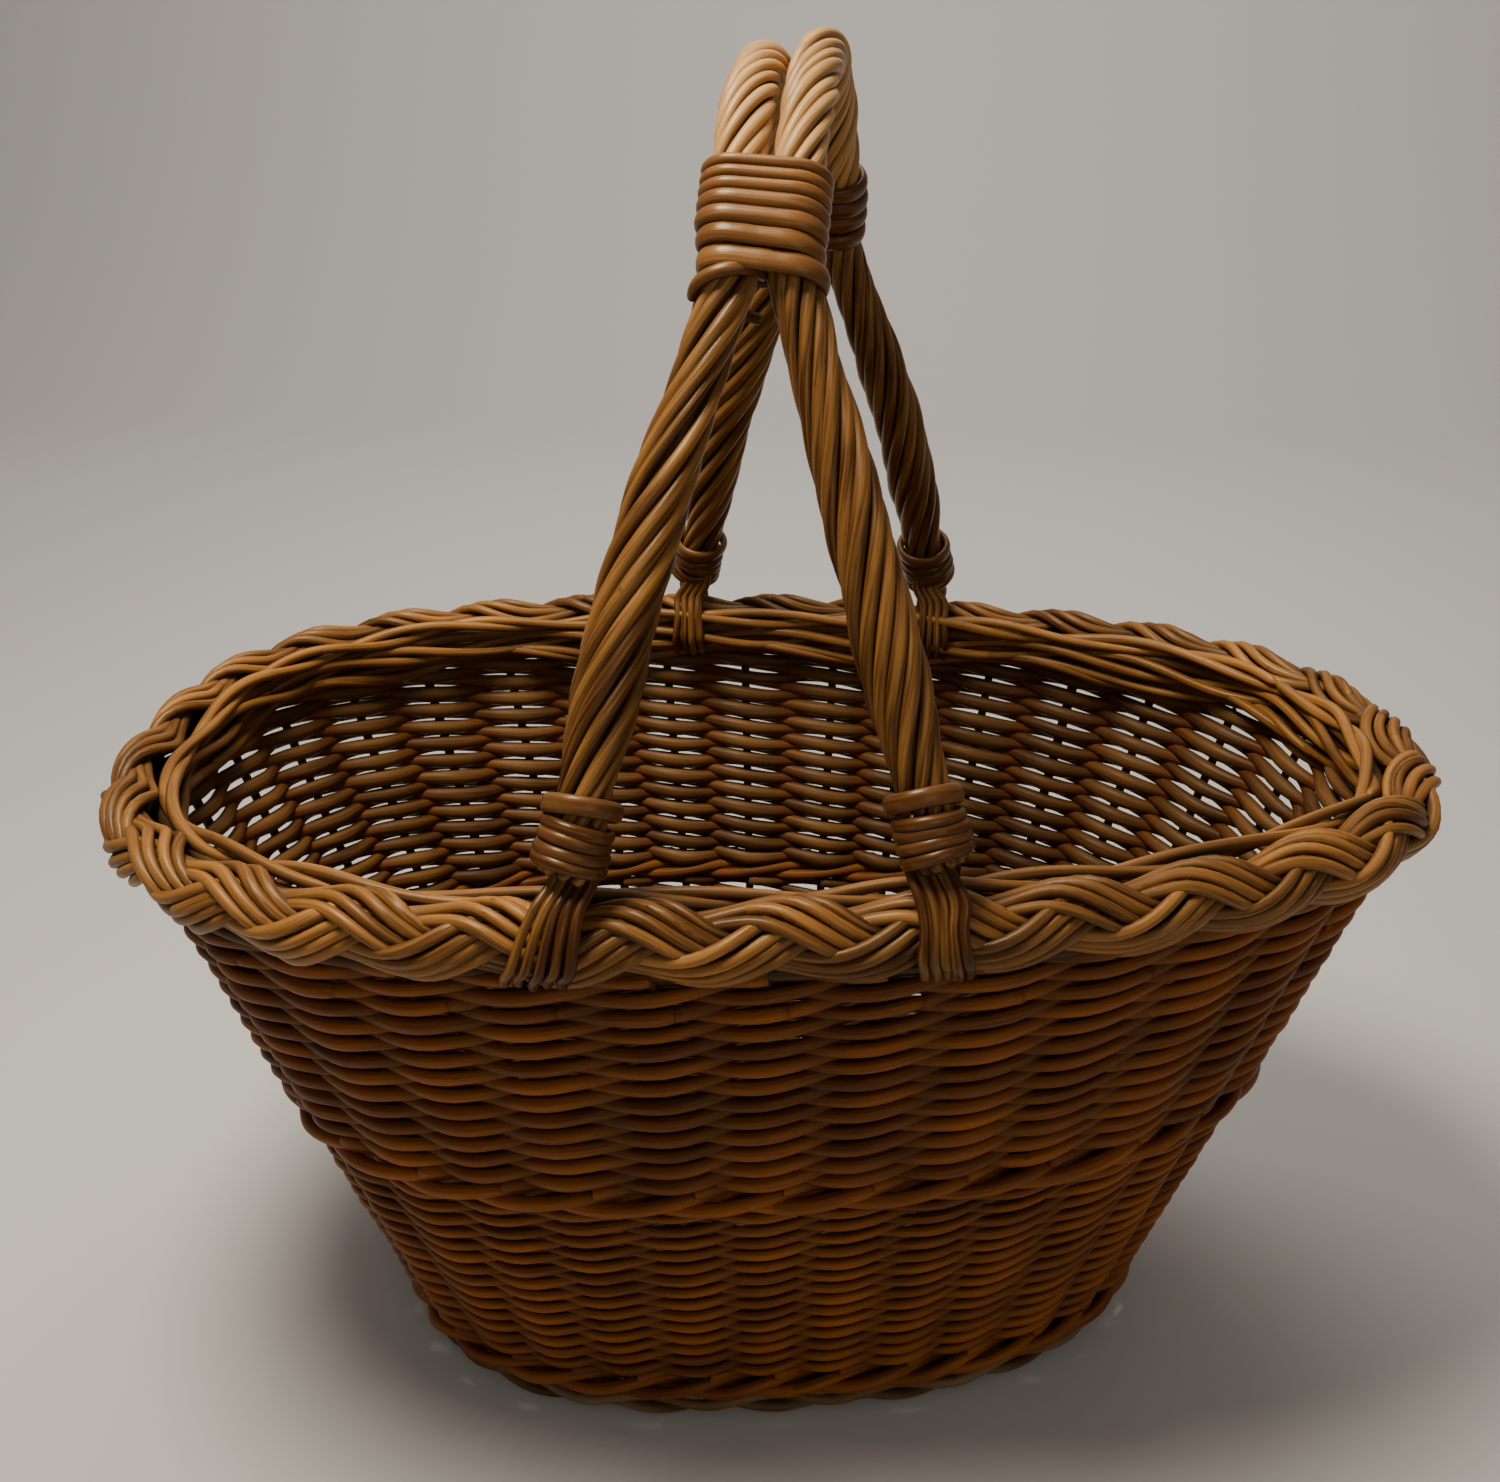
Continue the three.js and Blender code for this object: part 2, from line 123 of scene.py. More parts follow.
class Rods:
    """Collects rods and turns them into one mesh, with rod-local coordinates kept for the grain."""

    def __init__(self, sides=8):
        self.sides = sides
        self.points, self.faces, self.grain, self.tone = [], [], [], []
        self.count = 0

    def add(self, path, radius, outward, closed=False, flat=1.0, tone=None, dirt=None, taper=0.5, hollow=0.8,
            inside=0.0):
        """One rod along path; outward orients its section, flat squeezes it in that direction.

        Tone runs from dark to light; painted shade darkens the rod in gaps, under other rods and on its
        sides, and inside turns the rod to a painted light tint.
        """
        n = len(path)
        radius = np.broadcast_to(radius, n).copy()
        tangent = np.gradient(path, axis=0)
        if closed:
            tangent = np.roll(path, -1, 0) - np.roll(path, 1, 0)
        tangent /= np.linalg.norm(tangent, axis=1)[:, None] + 1e-12
        u = outward - (outward * tangent).sum(1)[:, None] * tangent
        u /= np.linalg.norm(u, axis=1)[:, None] + 1e-12
        v = np.cross(tangent, u)
        along = np.concatenate([[0], np.cumsum(np.linalg.norm(np.diff(path, axis=0), axis=1))])
        knots = KNOT_SIZE * np.sin(along * KNOT_PACE[0] + rng.uniform(0, 9))
        knots = knots * np.sin(along * KNOT_PACE[1] + rng.uniform(0, 9))
        radius *= 1 + knots
        if not closed:
            radius[0] *= taper
            radius[-1] *= taper
        flat = np.broadcast_to(flat, n)
        turn = np.arange(self.sides) / self.sides * TAU
        c, s = np.cos(turn), np.sin(turn)
        ring = (path[:, None, :] + ((radius * flat)[:, None] * c)[:, :, None] * u[:, None, :]
                + (radius[:, None] * s)[:, :, None] * v[:, None, :])
        self.points.append(ring.reshape(-1, 3))
        number = rng.uniform(0, 1)
        lengthwise = along[:, None] + number * GRAIN_SHIFT
        grain = np.stack(np.broadcast_arrays(lengthwise, radius[:, None] * c, radius[:, None] * s), 2)
        self.grain.append(grain.reshape(-1, 3))
        tone = number if tone is None else tone
        dirt = np.zeros(n) if dirt is None else dirt
        # Painted shade: darkening given per point, plus darkening of the rod's sides and back away from its
        # outward face
        shade = np.clip(dirt[:, None] + hollow * np.clip(SIDE_SHADE_EDGE - c, 0, 1)[None], 0, 1)
        inside = np.broadcast_to(inside, n)[:, None]
        tone = np.broadcast_to(tone, n)[:, None]
        colour = np.stack(np.broadcast_arrays(tone, shade, inside), 2)
        self.tone.append(colour.reshape(-1, 3))
        i = np.arange(n if closed else n - 1)[:, None]
        j = np.arange(self.sides)[None]
        here, after, beside = i * self.sides, (i + 1) % n * self.sides, (j + 1) % self.sides
        quads = np.stack([here + j, here + beside, after + beside, after + j], 2)
        self.faces += (quads.reshape(-1, 4) + self.count).tolist()
        if not closed:
            self.faces.append([self.count + k for k in range(self.sides)][::-1])
            self.faces.append([self.count + (n - 1) * self.sides + k for k in range(self.sides)])
        self.count += n * self.sides

    def build(self, name, material, *nodes, slot=None):
        mesh = bpy.data.meshes.new(name)
        mesh.from_pydata(np.concatenate(self.points).tolist(), [], self.faces)
        mesh.update()
        for key, rows in (("grain", self.grain), ("tone", self.tone)):
            layer = mesh.attributes.new(key, "FLOAT_VECTOR", "POINT")
            layer.data.foreach_set("vector", np.concatenate(rows).astype(np.float32).ravel())
        mesh.polygons.foreach_set("use_smooth", np.ones(len(mesh.polygons), bool))
        mesh.materials.append(material)
        piece = bpy.data.objects.new(name, mesh)
        bpy.context.scene.collection.objects.link(piece)
        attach(piece, "root")
        if nodes:
            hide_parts(*nodes)


def wave(u, size, lowest, highest):
    """A smooth closed random curve over the fraction u."""
    total = np.zeros_like(u)
    share = 1 / math.sqrt(highest - lowest + 1)
    for k in range(lowest, highest + 1):
        total += rng.normal() * np.sin(TAU * k * u + rng.uniform(0, TAU)) * share
    return size * total


# ---------------------------------------------------------------- materials

# Painted light: tints for the basket's lit inner face and for the handle's lit crown
INSIDE_LIGHT_TINT = (0.66, 1.02, 4.8)
CROWN_LIGHT_TINT = (1.25, 1.52, 2.6)
SHEEN_TINT = (1.0, 0.76, 0.5, 1)
# Colour that the painted shade darkens gaps, hollows and hidden rods towards
PAINTED_SHADE_COLOUR = (0.018, 0.007, 0.002)
SPECK_COLOUR = (0.03, 0.012, 0.004)
TONE_WEIGHT = 0.5
STREAK_WEIGHT = 1.3
PATCH_WEIGHT = 1.2
REGION_WEIGHT = 0.8


def willow(name, dark, light, roughness, coat, grey=None, tint=INSIDE_LIGHT_TINT):
    """Varnished willow: each rod has its own tone, with streaks along it and specks; painted shade darkens
    the hollows and a painted light tint colours some stretches.
    """
    material = bpy.data.materials.new(name)
    material.use_nodes = True
    nodes, links = material.node_tree.nodes, material.node_tree.links
    shader = nodes["Principled BSDF"]
    shader.inputs["Coat Weight"].default_value = coat
    shader.inputs["Specular IOR Level"].default_value = 0.35
    shader.inputs["Specular Tint"].default_value = SHEEN_TINT
    shader.inputs["Coat Tint"].default_value = SHEEN_TINT
    shader.inputs["Coat Roughness"].default_value = 0.22

    def node(kind, **values):
        made = nodes.new(kind)
        for key, value in values.items():
            setattr(made, key, value)
        return made

    def math_node(operation, *values, clamp=False):
        made = node("ShaderNodeMath", operation=operation, use_clamp=clamp)
        for socket, value in zip(made.inputs, values):
            if isinstance(value, (int, float)):
                socket.default_value = value
            else:
                links.new(value, socket)
        return made.outputs[0]

    def noise(source, scale, stretch, detail):
        mapping = node("ShaderNodeMapping")
        mapping.inputs["Scale"].default_value = stretch
        links.new(source, mapping.inputs["Vector"])
        made = node("ShaderNodeTexNoise")
        made.inputs["Scale"].default_value = scale
        made.inputs["Detail"].default_value = detail
        links.new(mapping.outputs[0], made.inputs["Vector"])
        return made.outputs["Fac"]

    def mix(fac, a, b, blend="MIX"):
        made = node("ShaderNodeMix", data_type="RGBA", blend_type=blend)
        for socket, value in zip((made.inputs[0], made.inputs[6], made.inputs[7]), (fac, a, b)):
            if isinstance(value, (int, float)):
                socket.default_value = value
            elif isinstance(value, tuple):
                socket.default_value = (*value, 1)
            else:
                links.new(value, socket)
        return made.outputs[2]

    grain = node("ShaderNodeAttribute", attribute_name="grain").outputs["Vector"]
    tone = node("ShaderNodeSeparateXYZ")
    links.new(node("ShaderNodeAttribute", attribute_name="tone").outputs["Vector"], tone.inputs[0])
    place = node("ShaderNodeTexCoord").outputs["Object"]

    streaks = noise(grain, 900, (0.035, 1, 1), 4)
    patches = noise(grain, 45, (0.5, 1, 1), 3)
    region = noise(place, 14, (1, 1, 1), 2)
    specks = noise(grain, 420, (0.5, 1, 1), 2)
    shade = math_node("MULTIPLY_ADD", tone.outputs[0], TONE_WEIGHT, -TONE_WEIGHT / 2)
    for part, weight in ((streaks, STREAK_WEIGHT), (patches, PATCH_WEIGHT), (region, REGION_WEIGHT)):
        shade = math_node("ADD", shade, math_node("MULTIPLY", math_node("SUBTRACT", part, 0.5), weight))
    shade = math_node("ADD", shade, 0.5, clamp=True)
    colour = mix(shade, dark, light)
    if grey:
        wear_and_crown_light = math_node("MULTIPLY", math_node("SUBTRACT", patches, 0.42), 4, clamp=True)
        colour = mix(wear_and_crown_light, colour, grey)
    speck = math_node("MULTIPLY", math_node("SUBTRACT", specks, 0.68), 9, clamp=True)
    colour = mix(math_node("MULTIPLY", speck, 0.6), colour, SPECK_COLOUR)
    # Painted shade: the tone attribute's second part darkens the colour in gaps, hollows and under other rods
    colour = mix(math_node("MULTIPLY", tone.outputs[1], 0.85), colour, PAINTED_SHADE_COLOUR)
    # Painted light: the tone attribute's third part tints the colour towards the light on the inner face or
    # the crown
    colour = mix(tone.outputs[2], colour, mix(1.0, colour, tint, "MULTIPLY"))
    links.new(colour, shader.inputs["Base Color"])

    rough = math_node("MULTIPLY_ADD", streaks, 0.25, roughness - 0.12)
    rough = math_node("ADD", rough, math_node("MULTIPLY", tone.outputs[1], 0.2), clamp=True)
    links.new(rough, shader.inputs["Roughness"])

    bump = node("ShaderNodeBump")
    bump.inputs["Strength"].default_value = 0.35
    bump.inputs["Distance"].default_value = 0.0006
    links.new(math_node("ADD", streaks, math_node("MULTIPLY", patches, 0.8)), bump.inputs["Height"])
    links.new(bump.outputs[0], shader.inputs["Normal"])
    return material


wall_look = willow("wall_willow", (0.066, 0.0145, 0.0008), (0.27, 0.075, 0.004), 0.55, 0.03)
border_look = willow("border_willow", (0.050, 0.0155, 0.002), (0.36, 0.155, 0.034), 0.46, 0.10)
handle_look = willow("handle_willow", (0.050, 0.014, 0.0015), (0.42, 0.195, 0.042), 0.42, 0.15,
                     tint=CROWN_LIGHT_TINT)
binding_look = willow("binding_willow", (0.055, 0.016, 0.002), (0.21, 0.09, 0.023), 0.40, 0.2)
stake_look = willow("stake_willow", (0.030, 0.010, 0.002), (0.10, 0.04, 0.008), 0.55, 0.03)
base_look = willow("base_willow", (0.08, 0.03, 0.006), (0.22, 0.105, 0.025), 0.55, 0.03)
foot_look = willow("foot_willow", (0.05, 0.018, 0.004), (0.19, 0.09, 0.025), 0.6, 0.03,
                   grey=(0.17, 0.115, 0.06))


# ---------------------------------------------------------------- woven bands

STAKE_RADIUS = 2.0 * MM
SWING_SHARE = 0.74
CLIMB_EASE = 0.3
BUTT_LENGTH = 0.9
BUTT_CLIMB = 0.25
ROD_WANDER = 0.4 * MM
ROD_NUDGE = 0.2 * MM
WEAVE_FLAT = 0.88
WEAVE_STEPS = {"lower": 10, "upper": 12}
WALE_STEPS = 10
WALE_ROD_STAKES = 8
REST_OF_THE_ROD = math.inf
stake_lean = rng.normal(0, 0.035, STAKES)


def stake_fraction(s):
    """Fraction round the basket of stake coordinate s; the stakes are a little unevenly spaced."""
    whole = np.floor(s).astype(int)
    part = s - whole
    soft = part * part * (3 - 2 * part)
    lean = stake_lean[whole % STAKES] * (1 - soft) + stake_lean[(whole + 1) % STAKES] * soft
    return (s + 0.5 + lean) / STAKES


def rand_bands(pieces, bottom, top, passes, rod_radius, steps):
    """One rod starts at each stake; all climb together, outside one stake and inside the next.

    Pieces are (name, node, top of the piece), from the bottom up; each holds its own stretch of every rod.
    """
    stretches = [Rods() for _ in pieces]
    climb_per_pass = (top - bottom - 2 * rod_radius) / passes
    places = np.linspace(0, 1, 512)
    wander = [wave(places, ROD_WANDER, 3, 18) for _ in range(4)]
    for rod in range(STAKES):
        run = np.arange(-int(BUTT_LENGTH * steps), passes * steps + 1) / steps
        u = stake_fraction(rod + run)
        swing = -np.cos(math.pi * run)
        part = np.clip(run / passes, 0, 1)
        round_it = np.mod(u, 1)
        field = sum(np.interp(round_it, places, w) * np.cos(math.pi * k * part) for k, w in enumerate(wander))
        ends = np.clip(6 * np.minimum(part, 1 - part), 0, 1)
        nudge = np.interp(run, np.arange(passes + 1), rng.normal(0, 1, passes + 1))
        climb = np.where(run > 0, run + CLIMB_EASE * np.sin(TAU * run) / TAU, BUTT_CLIMB * run)
        z = bottom + rod_radius + climb_per_pass * climb + (field + ROD_NUDGE * nudge) * ends
        out = SWING_SHARE * (STAKE_RADIUS + rod_radius) * swing * (1 + 0.07 * nudge)
        bulge = 1 + 0.16 * (swing * swing - 0.5) - 0.15 * swing
        thick = rod_radius * bulge * np.linspace(1.07, 0.94, len(run)) * (1 + 0.04 * rng.normal())
        # Painted shade: the rod darkens midway between stakes, where it crosses through the wall between its
        # neighbours
        dirt = 0.6 * (1 - np.abs(swing)) ** 1.3
        # Painted light: the stretches that run inside the stakes take the lighter, yellower tint of the light
        # on the basket's inner face
        inside = np.clip(-1.6 * swing, 0, 1)
        path, tone, first = wall_point(u, out, z), rng.uniform(0, 1), 0
        for rods, (_, _, piece_top) in zip(stretches, pieces):
            last = min(int(np.searchsorted(z, piece_top)) + 1, len(run))
            cut = slice(first, last)
            rods.add(path[cut], thick[cut], wall_outward(u[cut]), tone=tone, dirt=dirt[cut],
                     inside=inside[cut], flat=WEAVE_FLAT, taper=0.9, hollow=0)
            first = last - 1
    for rods, (name, node, _) in zip(stretches, pieces):
        rods.build(name, wall_look, node, slot="wall_willow")


def wale_band(name, node, bottom, top, rod_radius, tone):
    """Three-rod waling: outside two stakes, inside one; one continuous spiral of three laps."""
    rods = Rods(10)
    middle, rise = (bottom + top) / 2, (top - bottom) / 2 - rod_radius
    reach = STAKE_RADIUS + rod_radius * 0.9
    run = np.arange(0, 3 * STAKES * WALE_STEPS) / WALE_STEPS
    phase = TAU * (run - 0.5) / 3
    u = stake_fraction(run)
    out = reach * (0.2 + 1.1 * np.cos(phase))
    places = np.linspace(0, 1, 256)
    z = middle + rise * np.sin(phase) + np.interp(np.mod(u, 1), places, wave(places, 0.5 * MM, 2, 9))
    path = wall_point(u, out, z)
    cuts = np.arange(0, 3 * STAKES, WALE_ROD_STAKES) * WALE_STEPS
    for first, last in zip(cuts, np.append(cuts[1:], len(run))):
        part = np.arange(first, last + WALE_STEPS // 2 + 1) % len(run)
        # Painted shade: the rod darkens where it passes behind a stake
        dirt = np.clip(-np.cos(phase[part]) * 0.5, 0, 1)
        shade = np.clip(tone + rng.uniform(-0.3, 0.3), 0, 1)
        thick = rod_radius * (1 + 0.05 * rng.normal())
        rods.add(path[part], thick, wall_outward(u[part]), tone=shade, dirt=dirt, hollow=0)
    rods.build(name, wall_look, node, slot="wall_willow")


def edges(node):
    low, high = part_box(node)
    return low[2], high[2]


lower_bottom, lower_top = edges("lower_siding")
rand_bands([("lower_siding_weave", "lower_siding", REST_OF_THE_ROD)],
           lower_bottom, lower_top + 3 * MM, 28, 2.35 * MM, WEAVE_STEPS["lower"])
upper_bottom, upper_top = edges("upper_siding")
rand_bands([("upper_siding_weave", "upper_siding", upper_top), ("top_weave", "top_wale", REST_OF_THE_ROD)],
           upper_bottom - 1.5 * MM, WALL_TOP + 8 * MM, 25, 3.0 * MM, WEAVE_STEPS["upper"])
wale_band("upsett_wale_weave", "upsett_wale", *edges("upsett_wale"), 2.4 * MM, 0.5)
wale_band("mid_wale_weave", "mid_wale", *edges("mid_wale"), 2.6 * MM, 0.75)


def stake(number):
    """One upright rod, from inside the foot to inside the border."""
    rods = Rods(12)
    z = np.linspace(0.5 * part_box("foot_border")[1][2], WALL_TOP + 3 * MM, 40)
    u = np.full(len(z), stake_fraction(np.array([number - 1.0]))[0])
    rods.add(wall_point(u, 0.0, z), STAKE_RADIUS * (1 + 0.05 * rng.normal()), wall_outward(u))
    rods.build(f"stake_rod_{number}", stake_look, f"stake_{number}", slot="stake_willow")


for stake_number in range(1, STAKES + 1):
    stake(stake_number)


# ---------------------------------------------------------------- plaited border and foot

OFFSET_SHARE = 0.5
LANE_PACKING = 0.97
BORDER_ROD = 2.15 * MM
BORDER_UNITS = 29
BORDER_SWING = 11.6 * MM
BORDER_LEAN = 4 * MM
FOOT_ROD = 2.35 * MM
FOOT_UNITS = 16
# Rods under the plait: inset from the rim, height over the border's lowest point, and radius, in millimetres
CORE_RODS = ((12.5, 3.5, 2.8), (17.5, 4.5, 2.8), (21.5, 6.5, 2.6), (14.5, 8.5, 2.8), (19.0, 10.5, 2.6),
             (22.0, 16.5, 2.8))
CORE_STEPS = 8
INNER_ROD = 2.1 * MM
INNER_STEPS = 10
INNER_LAP = 8
INNER_TWIST = 2.9
# How many stakes a core or inner rod runs past before the next one begins
BORDER_ROD_STAKES = 8


class Section:
    """The oval section that a plait is laid on, by arc length round it from its lowest outer point."""

    def __init__(self, oval, inset, middle, across, up, lean, first, last):
        self.oval, self.inset, self.middle = oval, inset, middle
        self.across, self.up, self.lean = across, up, lean
        angle = np.radians(np.linspace(first, last, 400))
        x, z = across * np.cos(angle), up * np.sin(angle)
        self.lengths = np.concatenate([[0], np.cumsum(np.hypot(np.diff(x), np.diff(z)))])
        self.angles = angle
        self.width = self.lengths[-1]

    def at(self, u, v, lift):
        angle = np.interp(v, self.lengths, self.angles)
        nx, nz = np.cos(angle) * self.up, np.sin(angle) * self.across
        size = np.hypot(nx, nz)
        nx, nz = nx / size, nz / size
        out = self.across * np.cos(angle) + nx * lift - self.lean * np.clip(-np.sin(angle), 0, 1)
        z = self.middle + self.up * np.sin(angle) + nz * lift
        flat = self.oval.outward(u)
        path = np.column_stack([self.oval.at(u, self.inset - out), z])
        return path, np.column_stack([flat * nx[:, None], nz])


def plait(rods, section, units, lanes, rod_radius, swing, steps=12):
    """Three strands of several rods each, braided once per unit; the ring closes after three laps."""
    spread = 2 * rod_radius * LANE_PACKING
    pace = section.oval.length / units
    total = 3 * units * steps
    for lane in range(lanes):
        side = (lane - (lanes - 1) / 2) * spread
        first = rng.randint(0, steps)
        while first < total:
            count = rng.randint(5, 9) * 3 * steps // 2
            last = min(first + count, total + steps)
            run = np.arange(first - steps // 2, last + steps // 2 + 1) / steps
            first += count
            theta = TAU * run / 3
            slope = -swing * np.sin(theta) * TAU / 3 / pace
            size = np.hypot(1, slope)
            shift = side * (1 - 0.12 * np.abs(np.sin(theta))) + rng.normal(0, 0.07) * rod_radius
            along = run - OFFSET_SHARE * shift * slope / size / pace + rng.normal(0, 0.012)
            lift = 1.05 * rod_radius * np.sin(2 * theta) / 0.866
            v = section.width / 2 + swing * np.cos(theta) + shift * (1 + (size - 1) * (1 - OFFSET_SHARE))
            sag = 0.10 * rod_radius * np.sin(run * 5.3 + lane * 2.1) * np.sin(run * 1.7 + lane)
            path, outward = section.at(along / units, v, lift + sag)
            # Painted shade: the rod darkens where it dips under the other strands
            dirt = np.clip(-np.sin(2 * theta) * 0.5, 0, 1)
            rods.add(path, rod_radius * (1 + 0.05 * rng.normal()), outward, dirt=dirt)


border_low, border_high = edges("border_plait")
border_middle = (border_low + border_high) / 2
border_section = Section(rim_oval, 12 * MM, border_middle, 12 * MM - 2 * BORDER_ROD,
                         15.4 * MM - 2 * BORDER_ROD, BORDER_LEAN, -124, 184)
border = Rods(10)
plait(border, border_section, BORDER_UNITS, 4, BORDER_ROD, BORDER_SWING)


def border_core(rods):
    """Rods laid along under the plait, on top of the wall."""
    for inset, height, radius in CORE_RODS:
        u = np.arange(0, STAKES * CORE_STEPS + 1) / (STAKES * CORE_STEPS) + rng.uniform(0, 1)
        path = np.column_stack([rim_oval.at(u, inset * MM + wave(u, 0.4 * MM, 2, 9)),
                                border_low + height * MM + wave(u, 0.4 * MM, 2, 9)])
        flat = np.column_stack([-rim_oval.outward(u), np.full(len(u), 0.3)])
        for first in range(0, len(u) - 1, BORDER_ROD_STAKES * CORE_STEPS):
            part = slice(first, min(first + (BORDER_ROD_STAKES + 1) * CORE_STEPS, len(u)))
            # Painted shade: the core rods lie under the plait and are darkened evenly
            dirt = np.full(len(u[part]), 0.5)
            rods.add(path[part], radius * MM, flat[part], tone=rng.uniform(0, 0.4), dirt=dirt)


border_core(border)
border.build("border_plait_rods", border_look, "border_plait", slot="border_willow")

foot_low, foot_high = edges("foot_border")
foot_section = Section(base_oval, 5.5 * MM, (foot_low + foot_high) / 2 + 1.5 * MM, 8 * MM - 2 * FOOT_ROD,
                       6.6 * MM - 2 * FOOT_ROD, 0, -150, 120)
foot = Rods(10)
plait(foot, foot_section, FOOT_UNITS, 2, FOOT_ROD, foot_section.width / 2 - 2 * FOOT_ROD)
foot.build("foot_plait_rods", foot_look, "foot_border", slot="foot_willow")


def inner_roll():
    """Long rods that roll round each other along the border's inner edge, in three rows."""
    rods = Rods(10)
    low, high = edges("border_inner_rod")
    rows = ((25.0 * MM, (low + high) / 2 + 4.5 * MM, 2.6 * MM, 0.85),
            (25.0 * MM, border_low + 12.5 * MM, 3.3 * MM, 0.45),
            (24.0 * MM, border_low + 5.5 * MM, 3.3 * MM, 0.3))
    for inset, height, reach, tone in rows:
        for k in range(2):
            run = np.arange(0, STAKES * INNER_STEPS + 1) / INNER_STEPS
            phase = TAU * run / INNER_TWIST + math.pi * k + wave(run / STAKES, 0.5, 2, 6)
            u = run / STAKES + rng.uniform(0, 1)
            z = height + reach * np.sin(phase) + wave(run / STAKES, 0.4 * MM, 2, 7)
            path = np.column_stack([rim_oval.at(u, inset + 0.8 * reach * np.cos(phase)), z])
            flat = np.column_stack([-rim_oval.outward(u), np.full(len(u), 0.8)])
            for first in range(0, len(run) - 1, BORDER_ROD_STAKES * INNER_STEPS):
                part = slice(first, min(first + BORDER_ROD_STAKES * INNER_STEPS + INNER_LAP, len(run)))
                thick = INNER_ROD * (1 + 0.06 * rng.normal())
                rods.add(path[part], thick, flat[part], tone=tone + rng.uniform(-0.2, 0.15))
    rods.build("border_inner_rods", border_look, "border_inner_rod", slot="border_willow")


inner_roll()


# ---------------------------------------------------------------- roped handle

CROWN_SPREAD = 9.2 * MM
CROWN_SHIFT = 6 * MM
ROPE_CROWN_RADIUS = 8.2 * MM
ROPE_LEG_RADIUS = 10.2 * MM
ROPE_TIE_RADIUS = 8.3 * MM
ROPE_RODS = 9
LEG_TWIST = 7.2
CROWN_EXTRA_TWIST = 7.5
WRAP_RADIUS = ROPE_CROWN_RADIUS + 1.1 * MM
WRAP_THICKNESS = 1.7 * MM
WRAP_STEPS = 44
WRAP_OVERLAP = 0.53
WRAP_TAIL_ROD = 2.3 * MM
# Heights of a wrap's turns, bottom to top, in millimetres
NEAR_TURNS = (6.8, 5.8, 5.4, 4.8, 3.9, 3.7, 3.6)
FAR_TURNS = (6.2, 6.6, 6.8, 6.0)
# Turns of a tie in millimetres: height, half breadth, lean and stand off the rope; then the tone
TIE_TURNS = ((-9.8, 2.1, 0.7, 1.9, -0.1), (-6.3, 2.1, 0.7, 1.9, -0.1), (-2.7, 2.1, 0.7, 1.9, -0.1),
             (0.9, 2.1, 0.7, 1.9, -0.1), (6.9, 3.0, 1.5, 2.3, 0.4))
TIE_THICKNESS = 1.5
# How far apart the rods of a group stand, and how far they lean along X on the way down
STRAND_SPREAD = {
    ("outer", "near", "left"): (4.4 * MM, -9 * MM),
    ("outer", "near", "right"): (3.3 * MM, 3 * MM),
}
USUAL_SPREAD = (3.7 * MM, 0.0)
STRAND_ROD = 1.75 * MM
TAIL_INSET = 1.7 * MM
ROUTE_SAMPLES = 420


def catmull(points, per=24):
    """A smooth curve through points, evenly respaced."""
    points = np.array(points)
    padded = np.vstack([2 * points[0] - points[1], points, 2 * points[-1] - points[-2]])
    t = np.linspace(0, 1, per, endpoint=False)[:, None]
    rows = []
    for a, b, c, d in zip(padded, padded[1:], padded[2:], padded[3:]):
        square, cube = 2 * a - 5 * b + 4 * c - d, 3 * b - a - 3 * c + d
        rows.append(0.5 * (2 * b + (c - a) * t + square * t**2 + cube * t**3))
    curve = np.vstack([*rows, points[-1:]])
    along = np.concatenate([[0], np.cumsum(np.linalg.norm(np.diff(curve, axis=0), axis=1))])
    even = np.linspace(0, along[-1], ROUTE_SAMPLES)
    return np.column_stack([np.interp(even, along, curve[:, k]) for k in range(3)])


def centre_of(node):
    low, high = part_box(node)
    return (np.array(low) + np.array(high)) / 2


def rope_route(hand):
    """The centre line of one rope, through its ties, the wraps and the crown."""
    side = {"left": -1, "right": 1}[hand]
    points = []
    for end in ("near", "far"):
        tie = centre_of(f"tie_{end}_{hand}")
        wrap = centre_of(f"wrap_{end}") + np.array([side * CROWN_SPREAD, 0, 0])
        foot = tie + (tie - wrap) * 0.075 + np.array([side * 1.5 * MM, 0, 0])
        bow = 3 * MM if (end == "near" and side > 0) else 0
        knee = tie * 0.58 + wrap * 0.42 + np.array([side * (2.2 * MM - bow), 0, 0])
        low_wrap = wrap + (tie - wrap) * 0.105 - np.array([side * 3.5 * MM, 0, 0])
        crown_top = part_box(f"handle_rope_{hand}")[1][2] - ROPE_CROWN_RADIUS
        shoulder_x = wrap[0] * 0.5 + (CROWN_SHIFT + side * CROWN_SPREAD) * 0.5
        shoulder = np.array([shoulder_x, wrap[1] * 0.55, crown_top - 13 * MM - side * 2 * MM])
        points.append([foot, tie, knee, low_wrap, wrap, shoulder])
    crown = np.array([CROWN_SHIFT + side * CROWN_SPREAD, PLAN_SHIFT, crown_top])
    return catmull(points[0] + [crown] + points[1][::-1])


def rope_radius(along):
    """A rope's radius: slim at the ties, full in the legs and slim again over the crown."""
    from_end = np.minimum(along, 1 - along)

    def soft(a, b):
        t = np.clip((from_end - a) / (b - a), 0, 1)
        return t * t * (3 - 2 * t)

    lower = ROPE_TIE_RADIUS + (ROPE_LEG_RADIUS - ROPE_TIE_RADIUS) * soft(0.04, 0.1)
    return lower + (ROPE_CROWN_RADIUS - lower) * soft(0.18, 0.28)


def section_frame(route):
    """Unit vectors across (towards +X) and out (away from the arch) at each point of a rope route."""
    tangent = np.gradient(route, axis=0)
    tangent /= np.linalg.norm(tangent, axis=1)[:, None]
    across = np.array([1.0, 0, 0]) - tangent[:, :1] * tangent
    across /= np.linalg.norm(across, axis=1)[:, None]
    return across, np.cross(across, tangent)


routes = {hand: rope_route(hand) for hand in ("left", "right")}


